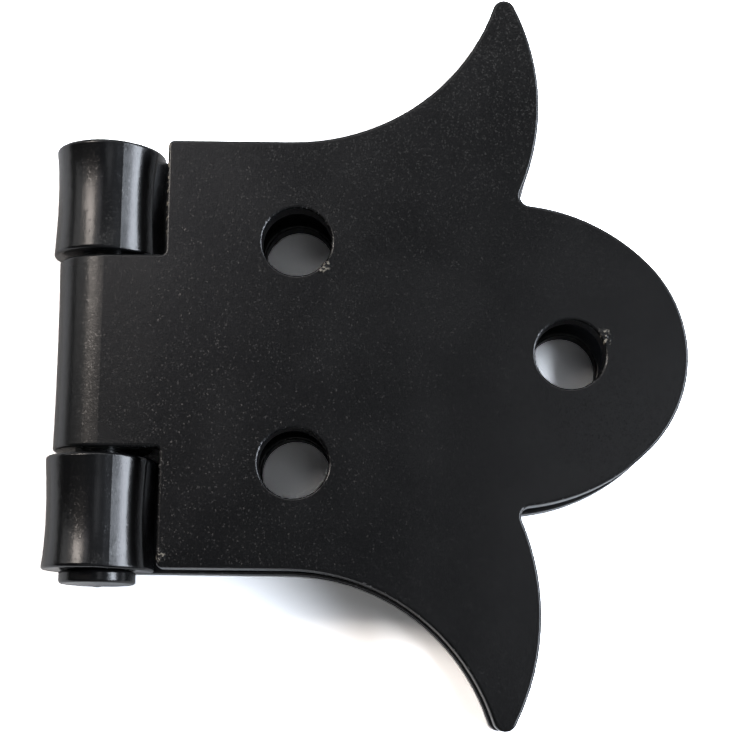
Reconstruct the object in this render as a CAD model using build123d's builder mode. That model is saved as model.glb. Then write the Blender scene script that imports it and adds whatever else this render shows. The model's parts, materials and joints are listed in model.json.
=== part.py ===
from build123d import *
import os
from math import asin, cos, degrees, hypot, radians, sin, sqrt

# Butterfly strap hinge, folded shut: two leaves punched from one plate and rolled round a headed pin.
# The origin is below the pin's axis, midway along the barrel, on the rear leaf's mounting face.
# X runs from the barrel to the leaves' far end, Y along the pin, Z from the rear leaf to the front one.

# Plate and barrel
plate = 2.7
barrel_radius = 5.4
pin_radius = 2.65
pin_play = 0.05
bore_radius = pin_radius + pin_play

# Leaf outline: straight sides flare into pointed wings, and notches part the wings from a lobe with
# flatter shoulders
half_width = 21.65
edge_x = 6.4
straight_end_x = 19.1
flare_radius = 21.4
wing_centre = (20.5, 25.8)
wing_radius = 23.5
lobe_centre = (45.4, 0)
lobe_radius = 13.35
shoulder_radius = 20.0
shoulder_angle = 44.5
tip_rounding = 1.15
notch_rounding = 1.05
corner_rounding = 0.6
relief_rounding = 0.5

# Screw holes
screw_radius = 3.5
near_screws_x = 19.6
near_screws_y = 11.2
far_screw_x = 47.0

# Knuckles: the middle one belongs to the front leaf and is rolled a little tighter
middle_half = 9.75
knuckle_gap = 0.55
outer_start = middle_half + knuckle_gap
middle_roll_radius = 5.1
middle_roll_shift = 0.3

# Rolling splays a knuckle's ends, most of all at the ends of the barrel
splay_length = 2.6
waist_splay = 0.02
middle_splay = 0.08
inner_splay = 0.15
end_splay = 0.25
middle_knuckles = [((-middle_half, middle_splay), (middle_half, middle_splay))]
outer_knuckles = [
    ((-half_width, end_splay), (-outer_start, inner_splay)),
    ((outer_start, inner_splay), (half_width, end_splay)),
]

# A roll is round up to its crown, tight over it, and flatter down to the plate's cut end
crown_start = 115
crown_end = 60
crown_share = 0.815
flank_share = 1.3
curl_end_gap = 0.35

# Edges softened under the coat, the outer rims of the knuckles with those of the plate
edge_rounding = 0.3
rim_rounding = 0.25

# Pin head and far end
head_radius = 3.85
head_height = 1.3
head_rounding = 0.3
head_crown = 0.3
head_seat = 0.05
far_end_inset = 0.1
far_end_chamfer = 0.4

# Slack for picking edges by their place
slack = 0.001


def crossing(first, first_radius, second, second_radius):
    """Where two circles meet, on the right-hand side going from the first centre to the second."""
    dx = second[0] - first[0]
    dy = second[1] - first[1]
    distance = hypot(dx, dy)
    along = (first_radius**2 - second_radius**2 + distance**2) / (2 * distance)
    across = sqrt(first_radius**2 - along**2)
    x = first[0] + (along * dx + across * dy) / distance
    y = first[1] + (along * dy - across * dx) / distance
    return (x, y)


def towards(start, angle, distance):
    """The point at a distance from start, in the direction of an angle in degrees."""
    return (start[0] + distance * cos(radians(angle)), start[1] + distance * sin(radians(angle)))


def corners_at(sketch, corner):
    """A corner of the sketch and its twin across the centre line."""
    return [sketch.vertices().sort_by_distance((corner[0], y))[0] for y in (corner[1], -corner[1])]


def edges_at(part, axis, place):
    """The part's edges that lie wholly at one place along an axis."""
    return part.edges().filter_by_position(axis, place - slack, place + slack)


def leaf_outline():
    """The flat leaf from its barrel edge to the lobe, with its screw holes."""
    flare_centre = (straight_end_x, half_width + flare_radius)
    shoulder_centre = towards(lobe_centre, shoulder_angle, lobe_radius - shoulder_radius)
    shoulder_end = towards(lobe_centre, shoulder_angle, lobe_radius)
    lobe_end = (lobe_centre[0] + lobe_radius, 0)
    tip = crossing(wing_centre, wing_radius, flare_centre, flare_radius)
    notch = crossing(shoulder_centre, shoulder_radius, wing_centre, wing_radius)
    with BuildSketch() as outline:
        with BuildLine():
            Polyline((edge_x, 0), (edge_x, half_width), (straight_end_x, half_width))
            RadiusArc((straight_end_x, half_width), tip, -flare_radius)
            RadiusArc(tip, notch, wing_radius)
            RadiusArc(notch, shoulder_end, shoulder_radius)
            RadiusArc(shoulder_end, lobe_end, lobe_radius)
            Line(lobe_end, (edge_x, 0))
        make_face()
        mirror(about=Plane.XZ)
        fillet(corners_at(outline, tip), tip_rounding)
        fillet(corners_at(outline, notch), notch_rounding)
        with Locations((near_screws_x, near_screws_y), (near_screws_x, -near_screws_y), (far_screw_x, 0)):
            Circle(screw_radius, mode=Mode.SUBTRACT)
    return outline.sketch


def curl_section(y, roll_radius, roll_shift):
    """Section of a curl, filled in to the pin's axis, in the plane at y."""
    crown_radius = crown_share * roll_radius
    flank_radius = flank_share * roll_radius
    roll_centre = (roll_shift, roll_radius)
    crown_centre = towards(roll_centre, crown_start, roll_radius - crown_radius)
    flank_centre = towards(crown_centre, crown_end, crown_radius - flank_radius)
    curl_end_z = plate + curl_end_gap
    curl_end = degrees(asin((curl_end_z - flank_centre[1]) / flank_radius))
    with BuildSketch(Plane.XZ.offset(-y)) as section:
        with BuildLine():
            CenterArc(roll_centre, roll_radius, -90, crown_start - 270)
            CenterArc(crown_centre, crown_radius, crown_start, crown_end - crown_start)
            flank = CenterArc(flank_centre, flank_radius, crown_end, curl_end - crown_end)
            Polyline(flank @ 1, (roll_shift, barrel_radius), (roll_shift, 0))
        make_face()
    return section.sketch


def knuckle(low_end, high_end, roll_radius, roll_shift):
    """One knuckle and the strap that feeds it, between two ends given as (y, splay)."""
    low, low_splay = low_end
    high, high_splay = high_end
    stations = [
        (low, low_splay),
        (low + splay_length, waist_splay),
        (high - splay_length, waist_splay),
        (high, high_splay),
    ]
    with BuildPart() as rolled:
        loft([curl_section(y, roll_radius + splay, roll_shift).face() for y, splay in stations])
        with BuildSketch(Plane.XZ.offset(-high)):
            with Locations((roll_shift, 0)):
                Rectangle(edge_x - roll_shift, plate, align=(Align.MIN, Align.MIN))
        extrude(amount=high - low)
        with BuildSketch(Plane.XZ.offset(-high)):
            with Locations((0, barrel_radius)):
                Circle(bore_radius)
        extrude(amount=high - low, mode=Mode.SUBTRACT)
    return rolled.part


def leaf(knuckles, roll_radius, roll_shift):
    """A leaf on its mounting face: the plate, its knuckles, and softened edges."""
    with BuildPart() as rolled:
        extrude(leaf_outline(), amount=plate)
        for low_end, high_end in knuckles:
            add(knuckle(low_end, high_end, roll_radius, roll_shift))
        upright = edges_at(rolled, Axis.X, edge_x).filter_by(Axis.Z)
        corners = upright.filter_by(lambda edge: abs(edge.center().Y) > half_width - slack)
        if corners:
            fillet(corners, corner_rounding)
        upright = edges_at(rolled, Axis.X, edge_x).filter_by(Axis.Z)
        reliefs = upright.filter_by(lambda edge: abs(edge.center().Y) < outer_start + slack)
        fillet(reliefs, relief_rounding)
        for face_z in (0, plate):
            rims = edges_at(rolled, Axis.Z, face_z).filter_by(lambda edge: edge.is_closed)
            fillet(rims, rim_rounding)
            outline = edges_at(rolled, Axis.Z, face_z).filter_by(
                lambda edge: edge.center().X > edge_x - slack and not edge.is_closed
            )
            fillet(outline, edge_rounding)
    return rolled.part


# The rear leaf carries the outer knuckles and lies on its mounting face
with BuildPart() as rear_leaf:
    add(leaf(outer_knuckles, barrel_radius, 0))

# The front leaf carries the middle knuckle and is turned over, its mounting face at the barrel's top
with BuildPart() as front_leaf:
    with Locations((0, 0, 2 * barrel_radius)):
        add(leaf(middle_knuckles, middle_roll_radius, middle_roll_shift), rotation=(180, 0, 0))

# The pin runs the length of the barrel, its flat head below the lower knuckle
seat_y = -half_width - head_seat
rim_y = seat_y - head_height
pole_y = rim_y - head_crown
far_end_y = half_width - far_end_inset
head_crown_radius = (head_radius**2 + head_crown**2) / (2 * head_crown)
with BuildPart() as hinge_pin:
    with BuildSketch(Plane.YZ):
        with BuildLine():
            Polyline(
                (pole_y, barrel_radius),
                (far_end_y, barrel_radius),
                (far_end_y, barrel_radius + pin_radius),
                (seat_y, barrel_radius + pin_radius),
                (seat_y, barrel_radius + head_radius),
                (rim_y, barrel_radius + head_radius),
            )
            RadiusArc((rim_y, barrel_radius + head_radius), (pole_y, barrel_radius), head_crown_radius)
        make_face()
    revolve(axis=Axis((0, 0, barrel_radius), (0, 1, 0)))
    far_end = hinge_pin.edges().filter_by(GeomType.CIRCLE).sort_by(Axis.Y)[-1]
    chamfer(far_end, far_end_chamfer)
    head_rims = hinge_pin.edges().filter_by(GeomType.CIRCLE)
    head_rims = head_rims.filter_by(lambda edge: edge.radius > pin_radius + slack)
    fillet(head_rims, head_rounding)

rear_leaf.part.label = "rear_leaf"
front_leaf.part.label = "front_leaf"
hinge_pin.part.label = "hinge_pin"

os.makedirs("parts", exist_ok=True)
export_step(rear_leaf.part, "parts/rear_leaf.step")
export_step(front_leaf.part, "parts/front_leaf.step")
export_step(hinge_pin.part, "parts/hinge_pin.step")
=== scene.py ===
import json
import logging
from dataclasses import dataclass, field
from enum import Enum
from math import cos, pi, radians, sin
from typing import Any

import bmesh
import bpy
from mathutils import Matrix, Vector

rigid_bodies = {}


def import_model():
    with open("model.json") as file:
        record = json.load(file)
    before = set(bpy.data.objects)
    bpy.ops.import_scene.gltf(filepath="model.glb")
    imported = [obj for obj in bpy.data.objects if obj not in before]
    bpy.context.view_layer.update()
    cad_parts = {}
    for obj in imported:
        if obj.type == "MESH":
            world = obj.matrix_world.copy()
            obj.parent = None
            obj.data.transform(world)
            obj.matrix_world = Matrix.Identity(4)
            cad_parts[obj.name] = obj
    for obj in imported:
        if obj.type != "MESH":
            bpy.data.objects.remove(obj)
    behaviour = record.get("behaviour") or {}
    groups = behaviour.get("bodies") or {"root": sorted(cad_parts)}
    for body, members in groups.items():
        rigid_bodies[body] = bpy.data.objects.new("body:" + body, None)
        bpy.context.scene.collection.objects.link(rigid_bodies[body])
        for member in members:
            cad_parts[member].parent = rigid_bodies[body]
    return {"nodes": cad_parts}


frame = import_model()

# Butterfly strap hinge, folded shut on a pale floor: two powder-coated leaves rolled round a headed pin.
# All sizes are in metres, in the part's own frame: X runs from the barrel to the leaves' far end, Y along the
# pin away from its head, and Z up from the rear leaf's mounting face.

log = logging.getLogger("strap_hinge")

MM = 0.001
SWINGING_SIDE = "body:swinging_side"
PAST_THE_PART = 1.0
WHITE = (1.0, 1.0, 1.0, 1.0)
MIDDLE_COLOUR = (0.5, 0.5, 0.5)

Socket = bpy.types.NodeSocket
Colour = tuple[float, float, float, float]
Span = tuple[float, float]


class Slot(Enum):
    """Material slots of the part, by their names in its record."""

    LEAF = "leaf_coat"
    PIN = "pin_coat"


@dataclass(frozen=True)
class NoiseLayer:
    """Noise on a surface: the size of its features, its finer layers, and the share that each one keeps."""

    size: float
    detail: float = 2.0
    roughness: float = 0.5


class NodeBoard:
    """A material's node tree, with short calls that add nodes and join them."""

    def __init__(self, name: str) -> None:
        """Make an empty material.

        Args:
            name: The material's name.
        """
        self.material = bpy.data.materials.new(name)
        self.material.use_nodes = True
        self.tree = self.material.node_tree
        self.tree.nodes.clear()

    def add(self, kind: str, inputs: dict[str | int, Any] | None = None, **settings: Any) -> bpy.types.Node:
        """Add a node.

        Args:
            kind: The node's class name.
            inputs: Values or output sockets for its inputs, by name or number.
            settings: The node's own properties.

        Returns:
            The new node.
        """
        node = self.tree.nodes.new(kind)
        for name, value in settings.items():
            setattr(node, name, value)
        for key, value in (inputs or {}).items():
            if isinstance(value, Socket):
                self.tree.links.new(value, node.inputs[key])
            else:
                node.inputs[key].default_value = value
        return node

    def math(self, operation: str, *values: Any) -> Socket:
        """Add a math node.

        Args:
            operation: The operation's name.
            values: Numbers or sockets, in order.

        Returns:
            Its result.
        """
        return self.add("ShaderNodeMath", dict(enumerate(values)), operation=operation).outputs[0]

    def product(self, first: Any, *others: Any) -> Socket:
        """Multiply two or more values.

        Args:
            first: A number or socket.
            others: The numbers or sockets that it is multiplied by.

        Returns:
            Their product.
        """
        for other in others:
            first = self.math("MULTIPLY", first, other)
        return first

    def vector(self, operation: str, inputs: dict[str | int, Any]) -> Socket:
        """Add a vector math node.

        Args:
            operation: The operation's name.
            inputs: Values or sockets for its inputs, by name or number.

        Returns:
            Its result, a number for a distance and otherwise a vector.
        """
        node = self.add("ShaderNodeVectorMath", inputs, operation=operation)
        return node.outputs["Value" if operation == "DISTANCE" else "Vector"]

    def ramp(self, value: Socket, span: Span, low: float = 0.0, high: float = 1.0) -> Socket:
        """Carry a value smoothly from one range to another.

        Args:
            value: What is mapped.
            span: Where the result starts to change, and where it stops.
            low: The result before the span.
            high: The result past the span.

        Returns:
            The mapped value.
        """
        inputs = {"Value": value, "From Min": span[0], "From Max": span[1], "To Min": low, "To Max": high}
        node = self.add("ShaderNodeMapRange", inputs, interpolation_type="SMOOTHSTEP")
        return node.outputs["Result"]

    def noise(self, place: Socket, layer: NoiseLayer) -> Socket:
        """Add noise.

        Args:
            place: Coordinates in metres.
            layer: The noise's sizes.

        Returns:
            The noise value, about 0.5 on average.
        """
        inputs = {
            "Vector": place,
            "Scale": 1 / layer.size,
            "Detail": layer.detail,
            "Roughness": layer.roughness,
        }
        return self.add("ShaderNodeTexNoise", inputs).outputs["Fac"]

    def mix(self, share: Socket | float, first: Socket | Colour, second: Socket | Colour) -> Socket:
        """Blend two colours.

        Args:
            share: How much of the second colour shows.
            first: Colour where the share is 0.
            second: Colour where the share is 1.

        Returns:
            The blended colour.
        """
        node = self.add("ShaderNodeMix", {0: share, 6: first, 7: second}, data_type="RGBA")
        return node.outputs[2]

    def bump(self, height: Socket, depth: float, normal: Socket | None = None) -> Socket:
        """Turn a height into a normal.

        Args:
            height: Height from 0 to 1.
            depth: Height of 1 in metres.
            normal: Normal from an earlier bump.

        Returns:
            The bumped normal.
        """
        inputs = {"Height": height, "Distance": depth, "Strength": 1.0}
        if normal is not None:
            inputs["Normal"] = normal
        return self.add("ShaderNodeBump", inputs).outputs["Normal"]

    def finish(self, surface: Socket) -> bpy.types.Material:
        """Join a shader to the output.

        Args:
            surface: The shader's output.

        Returns:
            The finished material.
        """
        self.add("ShaderNodeOutputMaterial", {"Surface": surface})
        return self.material


@dataclass(frozen=True)
class Chip:
    """A spot of lumpy, chipped coat."""

    x: float
    y: float
    z: float
    radius: float


@dataclass(frozen=True)
class Point:
    """Where a shaded point lies on the hinge, as sockets.

    Reach is its distance from the barrel's middle along the pin, up the Z of its normal, and flat is 0 on the
    rolls and 1 on the plate.
    """

    place: Socket
    x: Socket
    y: Socket
    z: Socket
    reach: Socket
    up: Socket
    flat: Socket


@dataclass(frozen=True)
class PowderCoat:
    """Black powder coat on punched steel: orange peel, fine grain, sparkle, and edges worn smooth.

    The rolled knuckles are burnished by the rolling tool, so the coat flows out smoother on them than on the
    flat plate. Each span says where something starts and where it is full.
    """

    name: str
    ior: float = 1.5

    # The coat's own black, the dust on it, and what shows where it is worn, rubbed or chipped
    colour: Colour = (0.0045, 0.0047, 0.0051, 1.0)
    dust: Colour = (0.030, 0.030, 0.031, 1.0)
    bare: Colour = (0.30, 0.30, 0.30, 1.0)
    beige: Colour = (0.42, 0.38, 0.31, 1.0)

    # Roughness of each part, and how the plate's finish takes over past the rolls
    plate_roughness: float = 0.24
    knuckle_roughness: float = 0.21
    middle_roughness: float = 0.27
    roughness_drift: float = 0.02
    drifting: Span = (0.2, 0.8)
    burnished_to: float = 5.6 * MM
    blend_before: float = 1.5 * MM
    blend_past: float = 0.6 * MM
    outer_knuckles_y: float = 10.0 * MM
    knuckle_blend: float = 0.2 * MM

    # Blotches of dust
    blotches: NoiseLayer = NoiseLayer(7 * MM, detail=1)
    dusty: Span = (0.35, 0.75)
    dust_share: float = 0.06

    # Orange peel and grain
    peel: NoiseLayer = NoiseLayer(1.1 * MM, detail=1)
    peel_depth: float = 0.006 * MM
    grain: NoiseLayer = NoiseLayer(0.13 * MM, roughness=0.6)
    grain_depth: float = 0.010 * MM
    knuckle_grain: float = 0.6

    # Sparkle: a few flecks, tilted out of the surface
    fleck_size: float = 0.12 * MM
    fleck_tilt: float = 0.20
    flecked: Span = (0.86, 0.92)

    # Softened edges, by the lean of their normals and past the rolls, and the wear on them
    edge_off_wall: Span = (0.15, 0.45)
    edge_off_face: Span = (0.985, 0.80)
    edge_across: Span = (5.9 * MM, 6.3 * MM)
    scuffs: NoiseLayer = NoiseLayer(0.35 * MM, detail=3, roughness=0.7)
    scuffed: Span = (0.60, 0.65)
    clusters: NoiseLayer = NoiseLayer(6 * MM, detail=1)
    clustered: Span = (0.42, 0.58)
    least_wear: float = 0.15
    worn_share: float = 0.6

    # Dashes rubbed along the edge beside the barrel
    dashes: NoiseLayer = NoiseLayer(0.55 * MM)
    dashed: Span = (0.50, 0.56)
    rubbed_across: Span = (7.0 * MM, 6.7 * MM)
    rubbed_along: Span = (11.5 * MM, 13.0 * MM)

    # Chipped spots
    chips: tuple[Chip, ...] = (
        Chip(22.2 * MM, 8.8 * MM, 10.8 * MM, 1.0 * MM),
        Chip(50.3 * MM, 1.7 * MM, 10.8 * MM, 1.1 * MM),
        Chip(6.6 * MM, -20.6 * MM, 10.7 * MM, 0.9 * MM),
    )
    lumps: NoiseLayer = NoiseLayer(0.32 * MM)
    lump_depth: float = 0.10 * MM
    flaked: Span = (0.56, 0.62)
    flaked_share: float = 0.55

    # Flanks of the outer rolls, where the shading leans up
    flank_lift: float = 0.33
    flank_across: Span = (0.6 * MM, 2.2 * MM)
    flank_above: Span = (6.6 * MM, 7.4 * MM)
    flank_facing: Span = (0.02, 0.10)
    flank_blend: float = 0.4 * MM

    def find_point(self, board: NodeBoard) -> Point:
        """Find where the shaded point lies on the hinge.

        Args:
            board: The material's board.

        Returns:
            The point.
        """
        coordinates = board.add("ShaderNodeTexCoord")
        place = coordinates.outputs["Object"]
        along = board.add("ShaderNodeSeparateXYZ", {"Vector": place})
        facing = board.add("ShaderNodeSeparateXYZ", {"Vector": coordinates.outputs["Normal"]})
        plate = (self.burnished_to - self.blend_before, self.burnished_to + self.blend_past)
        return Point(
            place=place,
            x=along.outputs["X"],
            y=along.outputs["Y"],
            z=along.outputs["Z"],
            reach=board.math("ABSOLUTE", along.outputs["Y"]),
            up=facing.outputs["Z"],
            flat=board.ramp(along.outputs["X"], plate),
        )

    def chipped_share(self, board: NodeBoard, point: Point) -> Socket:
        """How far the coat is chipped, from the spots where it is.

        Args:
            board: The material's board.
            point: The shaded point.

        Returns:
            1 inside the spots, fading to 0 at their radius.
        """
        shares = []
        for chip in self.chips:
            distance = board.vector("DISTANCE", {0: point.place, 1: (chip.x, chip.y, chip.z)})
            shares.append(board.ramp(distance, (chip.radius, chip.radius / 2)))
        widest = shares[0]
        for share in shares[1:]:
            widest = board.math("MAXIMUM", widest, share)
        return widest

    def flank_share(self, board: NodeBoard, point: Point) -> Socket:
        """How far the shading of the outer rolls' flanks leans up, towards a rounder roll.

        Args:
            board: The material's board.
            point: The shaded point.

        Returns:
            Length of the upward lean, 0 away from the flanks and on the knuckles' ends and bores.
        """
        beside = board.ramp(point.x, self.flank_across)
        rolled = board.ramp(point.x, (self.burnished_to, self.burnished_to - self.flank_blend))
        outer = board.math("GREATER_THAN", point.reach, self.outer_knuckles_y)
        high = board.ramp(point.z, self.flank_above)
        outward = board.ramp(point.up, self.flank_facing)
        return board.product(beside, rolled, outer, high, outward, self.flank_lift)

    def paint(self, board: NodeBoard, point: Point, blotch: Socket, chipped: Socket, lumps: Socket) -> Socket:
        """Colour the coat: dust in blotches, and wear on its edges and at its chips.

        Args:
            board: The material's board.
            point: The shaded point.
            blotch: Noise of the blotches.
            chipped: How far the coat is chipped.
            lumps: Noise of the lumps in the chips.

        Returns:
            The colour.
        """
        upright = board.math("ABSOLUTE", point.up)
        edge = board.product(
            board.ramp(upright, self.edge_off_wall),
            board.ramp(upright, self.edge_off_face),
            board.ramp(point.x, self.edge_across),
        )
        scuffed = board.ramp(board.noise(point.place, self.scuffs), self.scuffed)
        clustered = board.ramp(board.noise(point.place, self.clusters), self.clustered, self.least_wear)
        dashed = board.ramp(board.noise(point.place, self.dashes), self.dashed)
        beside = board.ramp(point.x, self.rubbed_across)
        upper = board.ramp(point.y, self.rubbed_along)
        flaked = board.product(chipped, board.ramp(lumps, self.flaked))

        colour = board.mix(board.ramp(blotch, self.dusty, high=self.dust_share), self.colour, self.dust)
        colour = board.mix(board.product(edge, scuffed, clustered, self.worn_share), colour, self.bare)
        colour = board.mix(board.product(edge, dashed, beside, upper), colour, self.beige)
        return board.mix(board.product(flaked, self.flaked_share), colour, self.beige)

    def roughness(self, board: NodeBoard, point: Point, blotch: Socket) -> Socket:
        """How rough the coat is: smoothest on the outer knuckles, and drifting a little with the blotches.

        Args:
            board: The material's board.
            point: The shaded point.
            blotch: Noise of the blotches.

        Returns:
            The roughness.
        """
        knuckle_ends = (self.outer_knuckles_y - self.knuckle_blend, self.outer_knuckles_y)
        rolled = board.ramp(point.reach, knuckle_ends, self.middle_roughness, self.knuckle_roughness)
        inputs = {"Factor": point.flat, "A": rolled, "B": self.plate_roughness}
        even = board.add("ShaderNodeMix", inputs, data_type="FLOAT").outputs["Result"]
        drift = board.ramp(blotch, self.drifting, -self.roughness_drift, self.roughness_drift)
        return board.math("ADD", even, drift)

    def relief(self, board: NodeBoard, point: Point, chipped: Socket, lumps: Socket) -> Socket:
        """Shape the coat's skin: orange peel, grain, lumps at the chips, tilted flecks and leaning flanks.

        Args:
            board: The material's board.
            point: The shaded point.
            chipped: How far the coat is chipped.
            lumps: Noise of the lumps in the chips.

        Returns:
            The normal.
        """
        texture = board.ramp(point.flat, (0.0, 1.0), self.knuckle_grain)
        normal = board.bump(board.noise(point.place, self.peel), self.peel_depth)
        grain = board.product(board.noise(point.place, self.grain), texture)
        normal = board.bump(grain, self.grain_depth, normal)
        normal = board.bump(board.product(lumps, chipped), self.lump_depth, normal)

        inputs = {"Vector": point.place, "Scale": 1 / self.fleck_size}
        cells = board.add("ShaderNodeTexVoronoi", inputs).outputs["Color"]
        chosen = board.add("ShaderNodeSeparateColor", {"Color": cells}).outputs["Green"]
        tilt = board.product(board.ramp(chosen, self.flecked), self.fleck_tilt, texture)
        spread = board.vector("SUBTRACT", {0: cells, 1: MIDDLE_COLOUR})
        push = board.vector("SCALE", {0: spread, "Scale": tilt})
        normal = board.vector("ADD", {0: normal, 1: push})
        if self.flank_lift:
            lift = board.add("ShaderNodeCombineXYZ", {"Z": self.flank_share(board, point)})
            normal = board.vector("ADD", {0: normal, 1: lift.outputs["Vector"]})
        return board.vector("NORMALIZE", {0: normal})

    def material(self) -> bpy.types.Material:
        """Build the coat's material.

        Returns:
            The material, on Object coordinates.
        """
        board = NodeBoard(self.name)
        point = self.find_point(board)
        blotch = board.noise(point.place, self.blotches)
        lumps = board.noise(point.place, self.lumps)
        chipped = self.chipped_share(board, point)
        shader = board.add("ShaderNodeBsdfPrincipled", {
            "Base Color": self.paint(board, point, blotch, chipped, lumps),
            "Roughness": self.roughness(board, point, blotch),
            "Normal": self.relief(board, point, chipped, lumps),
            "IOR": self.ior,
        })
        return board.finish(shader.outputs["BSDF"])


@dataclass(frozen=True)
class PaleFloor:
    """Plain pale floor that the camera and the coat's gloss see as white, and that keeps the shadow.

    The plain colour is what lights the hinge. The camera's is over 1, so that only deep shade shows on it.
    """

    name: str = "pale_floor"
    colour: Colour = (0.80, 0.80, 0.80, 1.0)
    seen_colour: Colour = (3.6, 3.6, 3.6, 1.0)
    mirrored_colour: Colour = (0.90, 0.90, 0.90, 1.0)

    def material(self) -> bpy.types.Material:
        """Build the floor's material.

        Returns:
            The material, with a colour for each kind of ray.
        """
        board = NodeBoard(self.name)
        path = board.add("ShaderNodeLightPath")
        mirrored = board.math("MAXIMUM", path.outputs["Is Glossy Ray"], path.outputs["Is Transmission Ray"])
        paint = board.mix(mirrored, self.colour, self.mirrored_colour)
        paint = board.mix(path.outputs["Is Camera Ray"], paint, self.seen_colour)
        return board.finish(board.add("ShaderNodeBsdfDiffuse", {"Color": paint}).outputs["BSDF"])


@dataclass(frozen=True)
class Panel:
    """A level soft light above the hinge, which the camera doesn't see.

    Its sides are given as slopes: how far aside they are for each metre of height.
    """

    name: str
    x_slopes: Span
    y_slopes: Span
    radiance: float
    colour: tuple[float, float, float] = (1.0, 1.0, 1.0)
    height: float = 0.6

    def build(self, target: Vector) -> bpy.types.Object:
        """Hang the panel.

        Args:
            target: Point that it hangs above.

        Returns:
            The panel's object.
        """
        low = Vector((self.x_slopes[0], self.y_slopes[0], 1.0)) * self.height
        high = Vector((self.x_slopes[1], self.y_slopes[1], 1.0)) * self.height
        data = bpy.data.lights.new(self.name, "AREA")
        data.shape = "RECTANGLE"
        data.size = high.x - low.x
        data.size_y = high.y - low.y
        data.color = self.colour
        data.energy = pi * self.radiance * data.size * data.size_y
        panel = bpy.data.objects.new(self.name, data)
        bpy.context.scene.collection.objects.link(panel)
        panel.location = target + (low + high) / 2
        panel.visible_camera = False
        return panel


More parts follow.
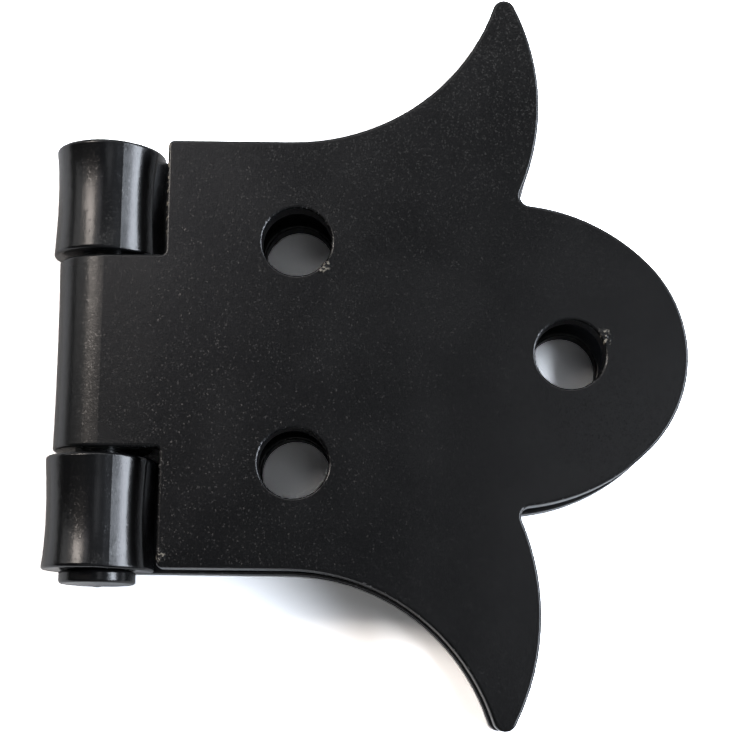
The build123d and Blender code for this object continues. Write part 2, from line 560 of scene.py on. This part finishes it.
@dataclass
class Studio:
    """Floor, light panels, world light and camera."""

    floor_size: float = 3.0
    floor_drop: float = 0.05 * MM
    tip_clearance: float = 2 * MM
    world_strength: float = 0.02
    world_seen_strength: float = 1.0
    focal_length: float = 91.96
    sensor: float = 36.0
    clip: Span = (0.01, 20.0)
    camera_place: tuple[float, float, float] = (0.026927, -0.034971, 0.193853)
    camera_tilt: float = 10.344
    camera_pan: float = 0.042
    camera_roll: float = 0.648
    target: tuple[float, float, float] = (0.026, 0.0, 0.008)
    panels: list[Panel] = field(default_factory=lambda: [
        Panel("overhead_west", (-0.30, -0.12), (0.22, 0.50), 1.3, (0.94, 0.93, 1.0)),
        Panel("overhead_east", (0.12, 0.35), (-0.10, 0.25), 0.8, (0.93, 0.95, 1.0)),
        Panel("warm_window", (-1.00, -0.45), (0.34, 0.60), 14.0, (1.0, 0.91, 0.84)),
        Panel("warm_sill", (-0.55, -0.28), (0.22, 0.36), 2.8, (1.0, 0.91, 0.86)),
        Panel("west_box", (-1.80, -1.00), (0.25, 1.00), 0.9),
        Panel("west_wall", (-4.00, -1.80), (0.50, 2.50), 1.15),
        Panel("north_box", (-0.60, 0.60), (0.60, 1.20), 1.9),
        Panel("east_box", (0.85, 1.20), (-0.60, 0.80), 3.8, (0.83, 0.90, 1.0)),
        Panel("east_window", (1.20, 2.00), (-0.90, 1.10), 17.0, (0.84, 0.90, 1.0)),
        Panel("south_box", (-0.60, 0.60), (-1.20, -0.45), 0.25),
    ])

    def build_tip_mark(self) -> bpy.types.Object:
        """Mark a point just past the swinging leaf's far tip, which swings with it.

        Returns:
            The mark, an empty.
        """
        corners = [Vector(corner) for corner in frame["nodes"]["front_leaf"].bound_box]
        far_x = max(corner.x for corner in corners) + self.tip_clearance
        top_z = max(corner.z for corner in corners)
        mark = bpy.data.objects.new("tip_mark", None)
        bpy.context.scene.collection.objects.link(mark)
        mark.parent = bpy.data.objects[SWINGING_SIDE]
        mark.matrix_parent_inverse = mark.parent.matrix_world.inverted()
        mark.location = (far_x, 0.0, top_z)
        return mark

    def build_floor(self) -> bpy.types.Object:
        """Lay the floor under the hinge, lowered with the swinging leaf where that hangs below it.

        Returns:
            The floor's object.
        """
        mesh = bpy.data.meshes.new("floor")
        shape = bmesh.new()
        bmesh.ops.create_grid(shape, x_segments=1, y_segments=1, size=self.floor_size / 2)
        shape.to_mesh(mesh)
        shape.free()
        mesh.materials.append(PaleFloor().material())
        floor = bpy.data.objects.new("floor", mesh)
        bpy.context.scene.collection.objects.link(floor)
        floor.location.z = -self.floor_drop
        follow = floor.constraints.new("COPY_LOCATION")
        follow.target = self.build_tip_mark()
        follow.use_x = follow.use_y = False
        limit = floor.constraints.new("LIMIT_LOCATION")
        limit.use_max_z = True
        limit.max_z = -self.floor_drop
        return floor

    def build_world(self) -> None:
        """Fill the surroundings with a dim light that the camera sees as white."""
        world = bpy.data.worlds.new("studio_air")
        bpy.context.scene.world = world
        world.use_nodes = True
        tree = world.node_tree
        tree.nodes.clear()
        path = tree.nodes.new("ShaderNodeLightPath")
        seen = tree.nodes.new("ShaderNodeMapRange")
        seen.inputs["To Min"].default_value = self.world_strength
        seen.inputs["To Max"].default_value = self.world_seen_strength
        tree.links.new(path.outputs["Is Camera Ray"], seen.inputs["Value"])
        background = tree.nodes.new("ShaderNodeBackground")
        background.inputs["Color"].default_value = WHITE
        tree.links.new(seen.outputs["Result"], background.inputs["Strength"])
        output = tree.nodes.new("ShaderNodeOutputWorld")
        tree.links.new(background.outputs["Background"], output.inputs["Surface"])

    def build_camera(self) -> bpy.types.Object:
        """Set the camera above the folded hinge, leaning a little to the pin's head.

        Returns:
            The camera's object.
        """
        tilt, pan, roll = radians(self.camera_tilt), radians(self.camera_pan), radians(self.camera_roll)
        back = Vector((sin(pan), -sin(tilt) * cos(pan), cos(tilt) * cos(pan)))
        right = Vector((0, 1, 0)).cross(back).normalized()
        up = back.cross(right)
        turned_right = right * cos(roll) + up * sin(roll)
        turned_up = up * cos(roll) - right * sin(roll)
        data = bpy.data.cameras.new("photo_camera")
        data.lens = self.focal_length
        data.sensor_width = self.sensor
        data.clip_start, data.clip_end = self.clip
        camera = bpy.data.objects.new("photo_camera", data)
        bpy.context.scene.collection.objects.link(camera)
        turn = Matrix((turned_right, turned_up, back)).transposed()
        camera.matrix_world = Matrix.Translation(self.camera_place) @ turn.to_4x4()
        bpy.context.scene.camera = camera
        return camera

    def build(self) -> None:
        """Build the whole studio."""
        bpy.context.scene.view_settings.view_transform = "Standard"
        self.build_floor()
        self.build_world()
        for panel in self.panels:
            panel.build(Vector(self.target))
        self.build_camera()


@dataclass
class Hinge:
    """The three pieces of the hinge, dressed in their coats."""

    coats: dict[Slot, PowderCoat] = field(default_factory=lambda: {
        Slot.LEAF: PowderCoat("leaf_coat"),
        Slot.PIN: PowderCoat("pin_coat", burnished_to=PAST_THE_PART, flank_lift=0.0),
    })
    pieces: dict[str, Slot] = field(default_factory=lambda: {
        "rear_leaf": Slot.LEAF,
        "front_leaf": Slot.LEAF,
        "hinge_pin": Slot.PIN,
    })

    def dress(self) -> None:
        """Give every piece its coat."""
        materials = {slot: coat.material() for slot, coat in self.coats.items()}
        for name, slot in self.pieces.items():
            piece = frame["nodes"][name]
            piece.data.materials.clear()
            piece.data.materials.append(materials[slot])
            log.info("%s wears %s", name, slot.value)


def main() -> None:
    """Dress the hinge and build the studio."""
    logging.basicConfig(level=logging.INFO, format="%(name)s: %(message)s")
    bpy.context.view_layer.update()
    Hinge().dress()
    Studio().build()


if __name__ == "__main__":
    main()
